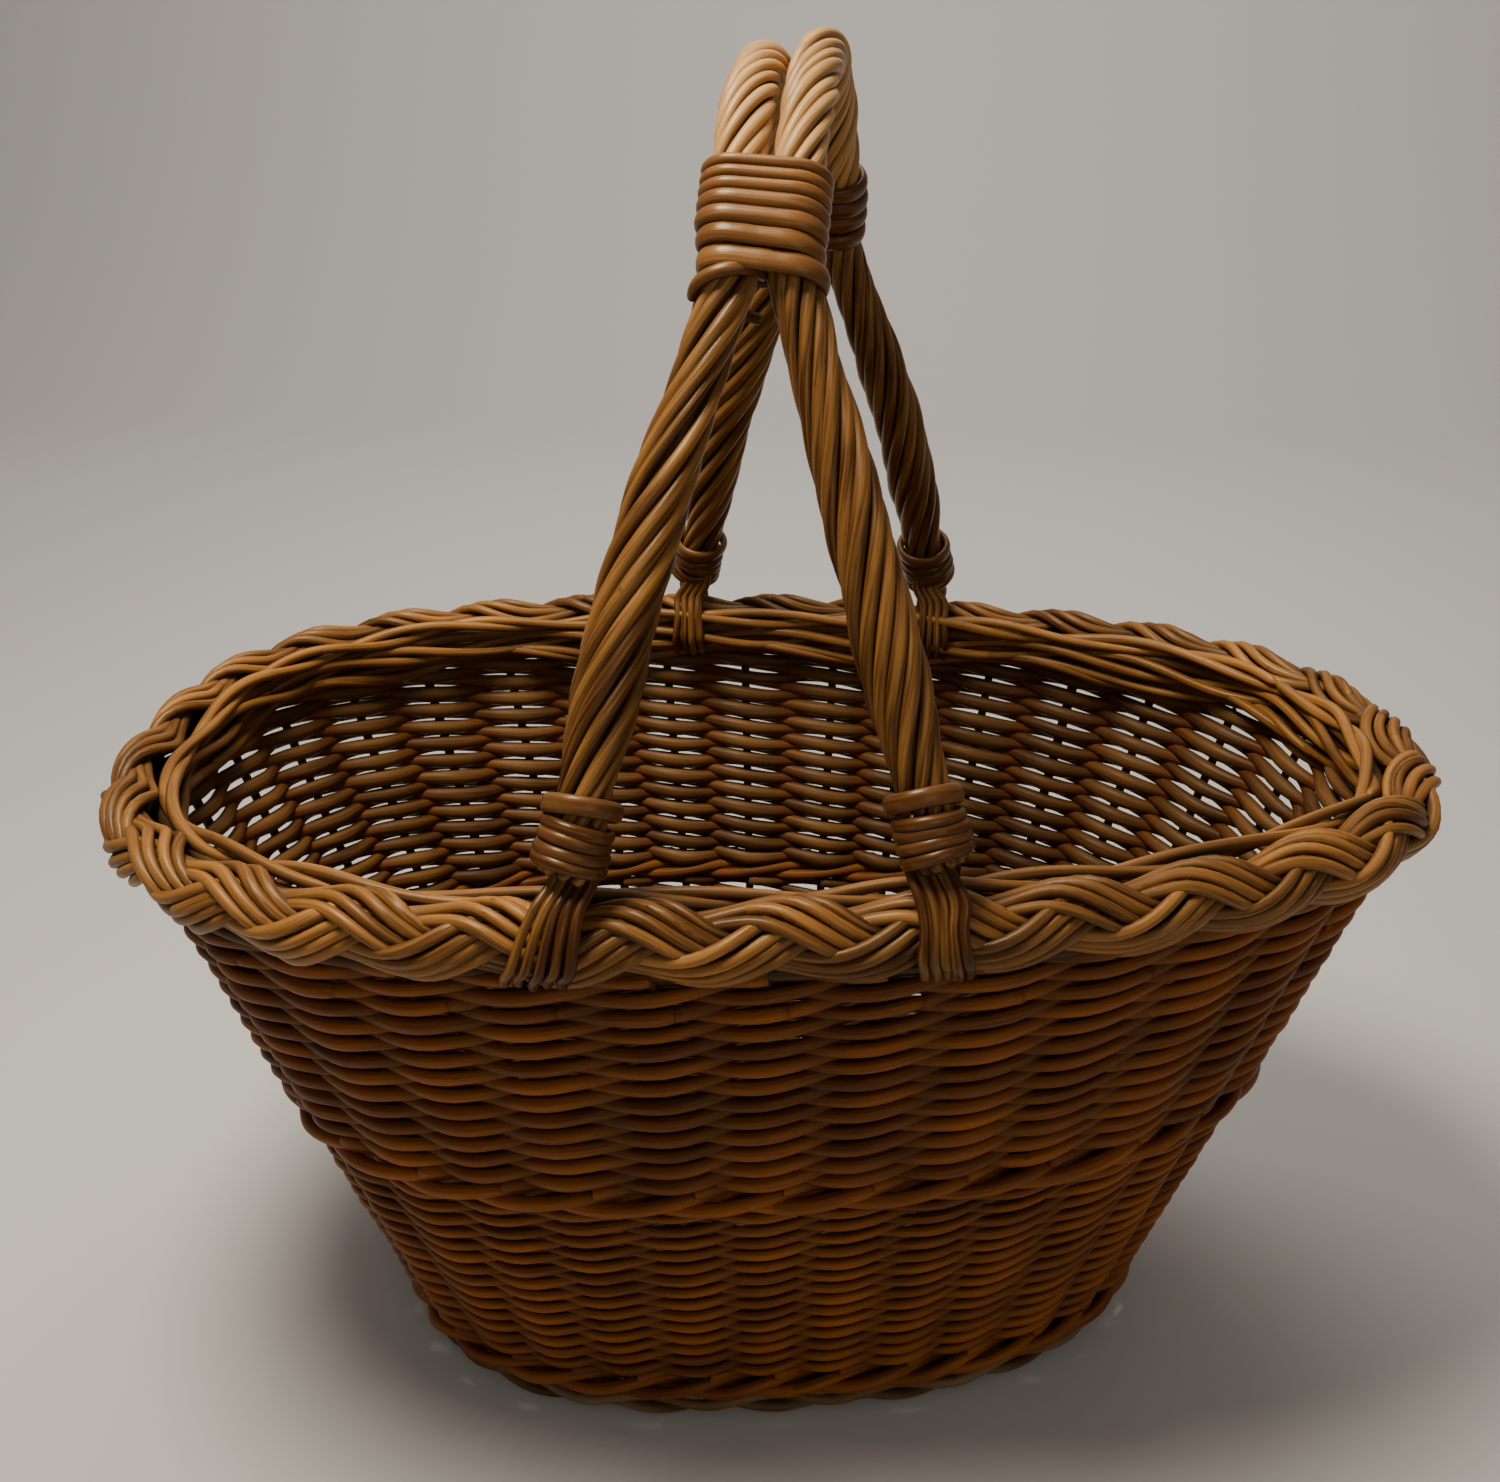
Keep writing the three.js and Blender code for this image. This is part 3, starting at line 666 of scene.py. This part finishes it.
def handle_rope(hand):
    route = routes[hand]
    across, out = section_frame(route)
    along = np.linspace(0, 1, len(route))
    length = np.linalg.norm(np.diff(route, axis=0), axis=1).sum()
    crown = np.exp(-(((along - 0.5) / 0.13) ** 2))
    rate = LEG_TWIST + CROWN_EXTRA_TWIST * crown
    twist = -TAU * np.cumsum(rate) * length / len(route)
    packing = math.sin(math.pi / ROPE_RODS)
    ring = rope_radius(along) / (1 + packing)
    rods = Rods(12)
    for k in range(ROPE_RODS):
        girth = ring * packing * (1.04 + 0.07 * rng.normal())
        angle = twist + TAU * (k + rng.normal(0, 0.06)) / ROPE_RODS + wave(along, 0.05, 1, 4)
        direction = across * np.cos(angle)[:, None] + out * np.sin(angle)[:, None]
        reach = ring * (1 + 0.03 * rng.normal()) + wave(along, 0.12 * MM, 2, 8)
        # Painted light: the crown is made lighter and tinted as if lit by the lamp above; the legs stay
        # darker
        wear_and_crown_light = np.exp(-(((along - 0.5) / 0.17) ** 4))
        rods.add(route + direction * reach[:, None], girth, direction,
                 tone=rng.uniform(-0.2, 0.35) + wear_and_crown_light * 1.2, inside=0.9 * wear_and_crown_light)
    # Painted shade: the hidden core rod inside the rope is darkened at full strength
    rods.add(route, ring - 1.2 * MM, across, tone=0.1, dirt=np.ones(len(route)))
    rods.build(f"rope_rods_{hand}", handle_look, f"handle_rope_{hand}", slot="handle_willow")


handle_rope("left")
handle_rope("right")


def stadium_table():
    """Round a pair of ropes: which rope (-1 to 1) and the direction away from it, by length."""
    caps = np.linspace(-math.pi / 2, math.pi / 2, 40)
    right = np.column_stack([np.ones(40), np.cos(caps), np.sin(caps)])
    left = np.column_stack([-np.ones(40), -np.cos(caps), -np.sin(caps)])
    return np.vstack([right, left, right[:1]])


def loop_round(p, half_gap, radius):
    """Offsets (across, out) and normals at fractions p of the way round two ropes half_gap either side."""
    table = stadium_table()
    place = table[:, :1] * np.array([[half_gap, 0]]) + radius * table[:, 1:]
    length = np.concatenate([[0], np.cumsum(np.linalg.norm(np.diff(place, axis=0), axis=1))])
    where = np.mod(p, 1) * length[-1]
    columns = np.column_stack([place, table[:, 1:]]).T
    got = np.column_stack([np.interp(where, length, column) for column in columns])
    return got[:, :2], got[:, 2:]


def nearest(route, target):
    return int(np.argmin(np.linalg.norm(route - target, axis=1)))


def frame_at(route, i, other=None):
    """Axis upward, across towards +X and outward at a sample of a route, or between two routes."""
    low, high = max(i - 3, 0), min(i + 3, len(route) - 1)
    axis = route[high] - route[low]
    if other is not None:
        axis = axis + (other[high] - other[low])
    axis /= np.linalg.norm(axis)
    if axis[2] < 0:
        axis = -axis
    across = np.array([1.0, 0, 0]) - axis[0] * axis
    across /= np.linalg.norm(across)
    return axis, across, np.cross(across, axis)


def wrap(end, bands, tail_turn):
    """Turns of one flattened rod round both ropes; bands are the heights of the turns, bottom to top.

    With tail_turn, the rod's end goes half way round the left rope below them.
    """
    target = centre_of(f"wrap_{end}")
    left, right = routes["left"], routes["right"]
    i, j = nearest(left, target), nearest(right, target)
    middle = (left[i] + right[j]) / 2
    axis, across, out = frame_at(left, i, right)
    rods = Rods(14)
    turns = len(bands)
    p = np.linspace(0, turns, turns * WRAP_STEPS + 1)
    bands = np.array(bands) * MM
    whole = bands.sum()
    height = np.interp(p, np.arange(turns + 1), np.concatenate([[0], np.cumsum(bands)])) - whole / 2
    half_band = np.interp(p, np.arange(turns) + 0.5, bands) * WRAP_OVERLAP
    rows, normals = [], []
    for turn, up in zip(p, height):
        point = middle + axis * up
        a = left[nearest(left, point - across * CROWN_SPREAD)]
        b = right[nearest(right, point + across * CROWN_SPREAD)]
        centre = (a + b) / 2
        centre = centre + axis * np.dot(point - centre, axis)
        gap = np.dot(b - a, across) / 2
        offset, normal = loop_round(np.array([turn]), gap, WRAP_RADIUS)
        rows.append(centre + across * offset[0, 0] + out * offset[0, 1])
        normals.append(across * normal[0, 0] + out * normal[0, 1])
    # Painted shade, at half strength, on the band's edges and the face against the ropes
    rods.add(np.array(rows), half_band, np.array(normals), flat=WRAP_THICKNESS / half_band, hollow=0.5)
    if tail_turn:
        base = nearest(left, middle - axis * (whole / 2 + 2 * MM) - across * CROWN_SPREAD)
        q = np.linspace(0, 1, 60)
        angle = TAU * (0.5 + 0.52 * q) if np.dot(out, [0, 1, 0]) > 0 else TAU * (0.5 - 0.52 * q)
        ring = WRAP_RADIUS + 0.6 * MM
        direction = across * np.cos(angle)[:, None] + out * np.sin(angle)[:, None]
        path = left[base] + direction * ring + axis * ((q - 0.6) * 9 * MM + 1.5 * MM)[:, None]
        rods.add(path, WRAP_TAIL_ROD, direction, flat=0.75)
    rods.build(f"wrap_rods_{end}", binding_look, f"wrap_{end}", slot="binding_willow")


wrap("near", NEAR_TURNS, True)
wrap("far", FAR_TURNS, False)


def tie(end, hand):
    """A collar on one leg: four close turns and a broad one standing a little apart above them."""
    route = routes[hand]
    target = centre_of(f"tie_{end}_{hand}")
    i = nearest(route, target)
    axis, across, out = frame_at(route, i)
    rods = Rods(12)
    turn = np.linspace(0, TAU, 48, endpoint=False)
    for height, half_band, lean_size, stand_off, tone in TIE_TURNS:
        lean = lean_size * MM * np.sin(turn + rng.uniform(0, TAU))
        direction = across * np.cos(turn)[:, None] + out * np.sin(turn)[:, None]
        ring = ROPE_TIE_RADIUS + stand_off * MM + 0.25 * MM * np.sin(2 * turn + rng.uniform(0, 6))
        path = route[i] + direction * ring[:, None] + axis * (height * MM + lean)[:, None]
        # Painted shade, at half strength, on the band's edges and the face against the rope
        rods.add(path, half_band * MM, direction, closed=True, flat=TIE_THICKNESS / half_band, tone=tone,
                 hollow=0.5)
    rods.build(f"tie_rods_{end}_{hand}", binding_look, f"tie_{end}_{hand}", slot="handle_willow")


def strands(face, end, hand):
    """Rods of the rope, run down one face of the border and into the wall under it."""
    side = {"near": -1, "far": 1}[end] * {"outer": 1, "inner": -1}[face]
    node = f"strands_{face}_{end}_{hand}"
    low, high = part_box(node)
    route = routes[hand]
    start = route[nearest(route, centre_of(f"tie_{end}_{hand}"))]
    centre_x = (low[0] + high[0]) / 2
    edge = high[1] if side > 0 else low[1]
    inner = low[1] if side > 0 else high[1]
    over_border = inner + (edge - inner) * 0.42
    fan, slant = STRAND_SPREAD.get((face, end, hand), USUAL_SPREAD)
    count = 5 if (face, end) == ("outer", "near") else 4
    rods = Rods(12)
    for k in range(count):
        place = k - (count - 1) / 2
        x = centre_x + place * fan
        stagger = rng.uniform(-1.2, 1.2) * MM
        rows = [
            start + np.array([place * 2.4 * MM, side * 3.5 * MM, 4 * MM]),
            start + np.array([place * 2.9 * MM, side * 5.5 * MM, -11 * MM]),
            [centre_x + place * 3.3 * MM + slant * 0.05, over_border, border_high + 4.5 * MM],
            [x - place * 0.5 * MM + slant * 0.30, edge - side * 4.4 * MM, border_high - 3 * MM],
            [x + slant * 0.55, edge - side * 2.0 * MM, border_middle + 1 * MM],
            [x + slant * 0.85, edge - side * 4.6 * MM, border_low + 9.5 * MM + stagger],
            [x + slant, edge - side * 10.0 * MM, border_low + 4.5 * MM + 0.5 * stagger],
            [x + slant * 1.05, edge - side * 19 * MM, border_low + 4.5 * MM],
        ]
        path = catmull(rows, 8)[::8]
        outward = np.tile([0.0, side, 0.3], (len(path), 1))
        rods.add(path, STRAND_ROD * (1 + 0.07 * rng.normal()), outward, tone=rng.uniform(-0.6, 0.1))
    rods.build(f"strand_rods_{face}_{end}_{hand}", handle_look, node, slot="handle_willow")


for end in ("near", "far"):
    for hand in ("left", "right"):
        tie(end, hand)
        for face in ("outer", "inner"):
            strands(face, end, hand)


def wrap_tail():
    """The cut end of the near wrap's rod, out of the left rope."""
    low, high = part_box("wrap_tail_end")
    first, last = np.array(low) + TAIL_INSET, np.array(high) - TAIL_INSET
    root = routes["left"][nearest(routes["left"], first)]
    path = np.linspace(root, last, 12)
    rods = Rods(12)
    rods.add(path, STRAND_ROD, np.tile([0.0, -1.0, 0.2], (12, 1)), taper=0.0)
    rods.build("wrap_tail_rod", binding_look, "wrap_tail_end", slot="binding_willow")


wrap_tail()


# ---------------------------------------------------------------- base

BASE_SPOKES = 28
BASE_ROD = 2.0 * MM
BASE_STICK = 2.2 * MM
BASE_ROUNDS = 13
BASE_STEPS = 8
HUB_SHARE = (0.62, 0.22)
SLATH_PITCH = 13 * MM
SLATH_SPACING = 4.2 * MM
SLATH_SWING = 1.9 * MM
slab_low, slab_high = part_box("base_weave")
slab_middle = (slab_low[2] + slab_high[2]) / 2
base_rim = Oval((slab_high[0] + 1.5 * MM, (slab_high[1] - slab_low[1]) / 2 + 1.5 * MM), BASE_SQUARENESS)


def base_point(u, out, inset_part):
    """Points of the base between its edge (0) and its long hub (1), out above the middle of its thickness."""
    edge = base_rim.at(u)
    hub = np.column_stack([edge[:, 0] * HUB_SHARE[0], edge[:, 1] * HUB_SHARE[1]])
    xy = edge + (hub - edge) * np.reshape(inset_part, (-1, 1))
    return np.column_stack([xy, np.broadcast_to(slab_middle + out, len(xy))])


def base_weave():
    rods = Rods(8)
    for j in range(BASE_SPOKES):
        run = np.arange(0, BASE_ROUNDS * 2 * BASE_STEPS + 1) / BASE_STEPS
        u = (j + run) / BASE_SPOKES
        out = (BASE_STICK + BASE_ROD * 0.9) * np.cos(math.pi * run)
        path = base_point(u, out, 1 - run / (2 * BASE_ROUNDS))
        rods.add(path, BASE_ROD * (1 + 0.06 * rng.normal()), np.tile([0.0, 0.0, 1.0], (len(path), 1)))
    rods.build("base_weave_rods", base_look, "base_weave", slot="base_willow")


def base_sticks():
    """The spokes, and at the hub a slath of long rods woven over and under short cross sticks."""
    rods = Rods(10)
    up = np.tile([0.0, 0.0, 1.0], (120, 1))
    for j in range(BASE_SPOKES):
        path = base_point(np.full(12, j / BASE_SPOKES), 0.0, np.linspace(1.25, 0.0, 12))
        rods.add(path, BASE_STICK, up[:12])
    hub_x, hub_y = HUB_SHARE[0] * slab_high[0], HUB_SHARE[1] * slab_high[1]
    middle_y = HUB_SHARE[1] * PLAN_SHIFT
    long_rods = int(hub_y / SLATH_SPACING) + 1
    for k in range(-long_rods, long_rods + 1):
        half = hub_x * (1.04 - 0.18 * (k / long_rods) ** 2)
        x = np.linspace(-half, half, 120)
        z = slab_middle + SLATH_SWING * np.cos(math.pi * (x / SLATH_PITCH + k))
        path = np.column_stack([x, np.full(120, middle_y + k * SLATH_SPACING), z])
        rods.add(path, BASE_STICK * (1 + 0.05 * rng.normal()), up)
    cross_sticks = int(hub_x / SLATH_PITCH)
    for j in range(-cross_sticks, cross_sticks + 1):
        y = middle_y + np.linspace(-1.25 * hub_y, 1.25 * hub_y, 12)
        path = np.column_stack([np.full(12, j * SLATH_PITCH), y, np.full(12, slab_middle)])
        rods.add(path, BASE_STICK, up[:12])
    rods.build("base_stick_rods", base_look, "base_slath", slot="base_willow")


base_weave()
base_sticks()


# ---------------------------------------------------------------- camera, floor and light

CAMERA_PLACE = (30.7 * MM, -521.3 * MM + PLAN_SHIFT, 492.6 * MM)
CAMERA_YAW, CAMERA_PITCH, CAMERA_ROLL = -0.075, -0.432, -0.003
SENSOR_WIDTH = 36.0
FOCAL_OVER_WIDTH = 1494 / 1500
FLOOR_COLOUR = (0.60, 0.57, 0.53, 1)
WORLD_COLOUR = (0.80, 0.79, 0.78, 1)
WORLD_STRENGTH = 0.22


def make_camera():
    data = bpy.data.cameras.new("camera")
    data.sensor_width = SENSOR_WIDTH
    data.lens = SENSOR_WIDTH * FOCAL_OVER_WIDTH
    data.clip_start = 0.01
    camera = bpy.data.objects.new("camera", data)
    bpy.context.scene.collection.objects.link(camera)
    cy, sy = math.cos(CAMERA_YAW), math.sin(CAMERA_YAW)
    cp, sp = math.cos(CAMERA_PITCH), math.sin(CAMERA_PITCH)
    forward = np.array([sy * cp, cy * cp, sp])
    right = np.array([cy, -sy, 0.0])
    up = np.cross(right, forward)
    c, s = math.cos(CAMERA_ROLL), math.sin(CAMERA_ROLL)
    right, up = c * right + s * up, -s * right + c * up
    turn = np.column_stack([right, up, -forward])
    camera.matrix_world = Matrix.Translation(CAMERA_PLACE) @ Matrix(turn.tolist()).to_4x4()
    bpy.context.scene.camera = camera


def area_light(name, place, aim, size, power, colour):
    data = bpy.data.lights.new(name, "AREA")
    data.shape = "DISK"
    data.size, data.energy, data.color = size, power, colour
    light = bpy.data.objects.new(name, data)
    bpy.context.scene.collection.objects.link(light)
    direction = np.array(aim) - np.array(place)
    direction /= np.linalg.norm(direction)
    side = np.cross(direction, [0, 0.01, 1.0])
    side /= np.linalg.norm(side)
    turn = np.column_stack([side, np.cross(side, direction), -direction])
    light.matrix_world = Matrix.Translation(place) @ Matrix(turn.tolist()).to_4x4()


def make_floor():
    """A pale floor that sweeps up into a backdrop far behind the basket."""
    mesh = bpy.data.meshes.new("floor")
    reach, back, bend, top = 5.0, 1.6, 1.0, 4.0
    profile = [(-reach, 0.0), (back, 0.0)]
    for t in np.linspace(0, math.pi / 2, 25)[1:]:
        profile.append((back + bend * math.sin(t), bend - bend * math.cos(t)))
    profile.append((back + bend, top))
    points = [(x, y, z) for y, z in profile for x in (-reach, reach)]
    faces = [(2 * k, 2 * k + 1, 2 * k + 3, 2 * k + 2) for k in range(len(profile) - 1)]
    mesh.from_pydata(points, [], faces)
    mesh.polygons.foreach_set("use_smooth", np.ones(len(faces), bool))
    material = bpy.data.materials.new("pale_floor")
    material.use_nodes = True
    shader = material.node_tree.nodes["Principled BSDF"]
    shader.inputs["Base Color"].default_value = FLOOR_COLOUR
    shader.inputs["Roughness"].default_value = 0.8
    mesh.materials.append(material)
    floor = bpy.data.objects.new("floor", mesh)
    bpy.context.scene.collection.objects.link(floor)


make_camera()
make_floor()
area_light("overhead", (-0.24, -0.14, 1.10), (0, 0, 0.28), 0.35, 12.5, (1.0, 0.93, 0.82))
area_light("front_fill", (0.9, -1.9, 0.9), (0, 0, 0.15), 1.2, 5.5, (1.0, 0.92, 0.82))
area_light("backdrop_light", (0.0, 0.7, 2.0), (0, 2.3, 0.7), 1.2, 34, (1.0, 0.96, 0.93))

world = bpy.data.worlds.new("studio")
bpy.context.scene.world = world
world.use_nodes = True
background = world.node_tree.nodes["Background"]
background.inputs["Color"].default_value = WORLD_COLOUR
background.inputs["Strength"].default_value = WORLD_STRENGTH
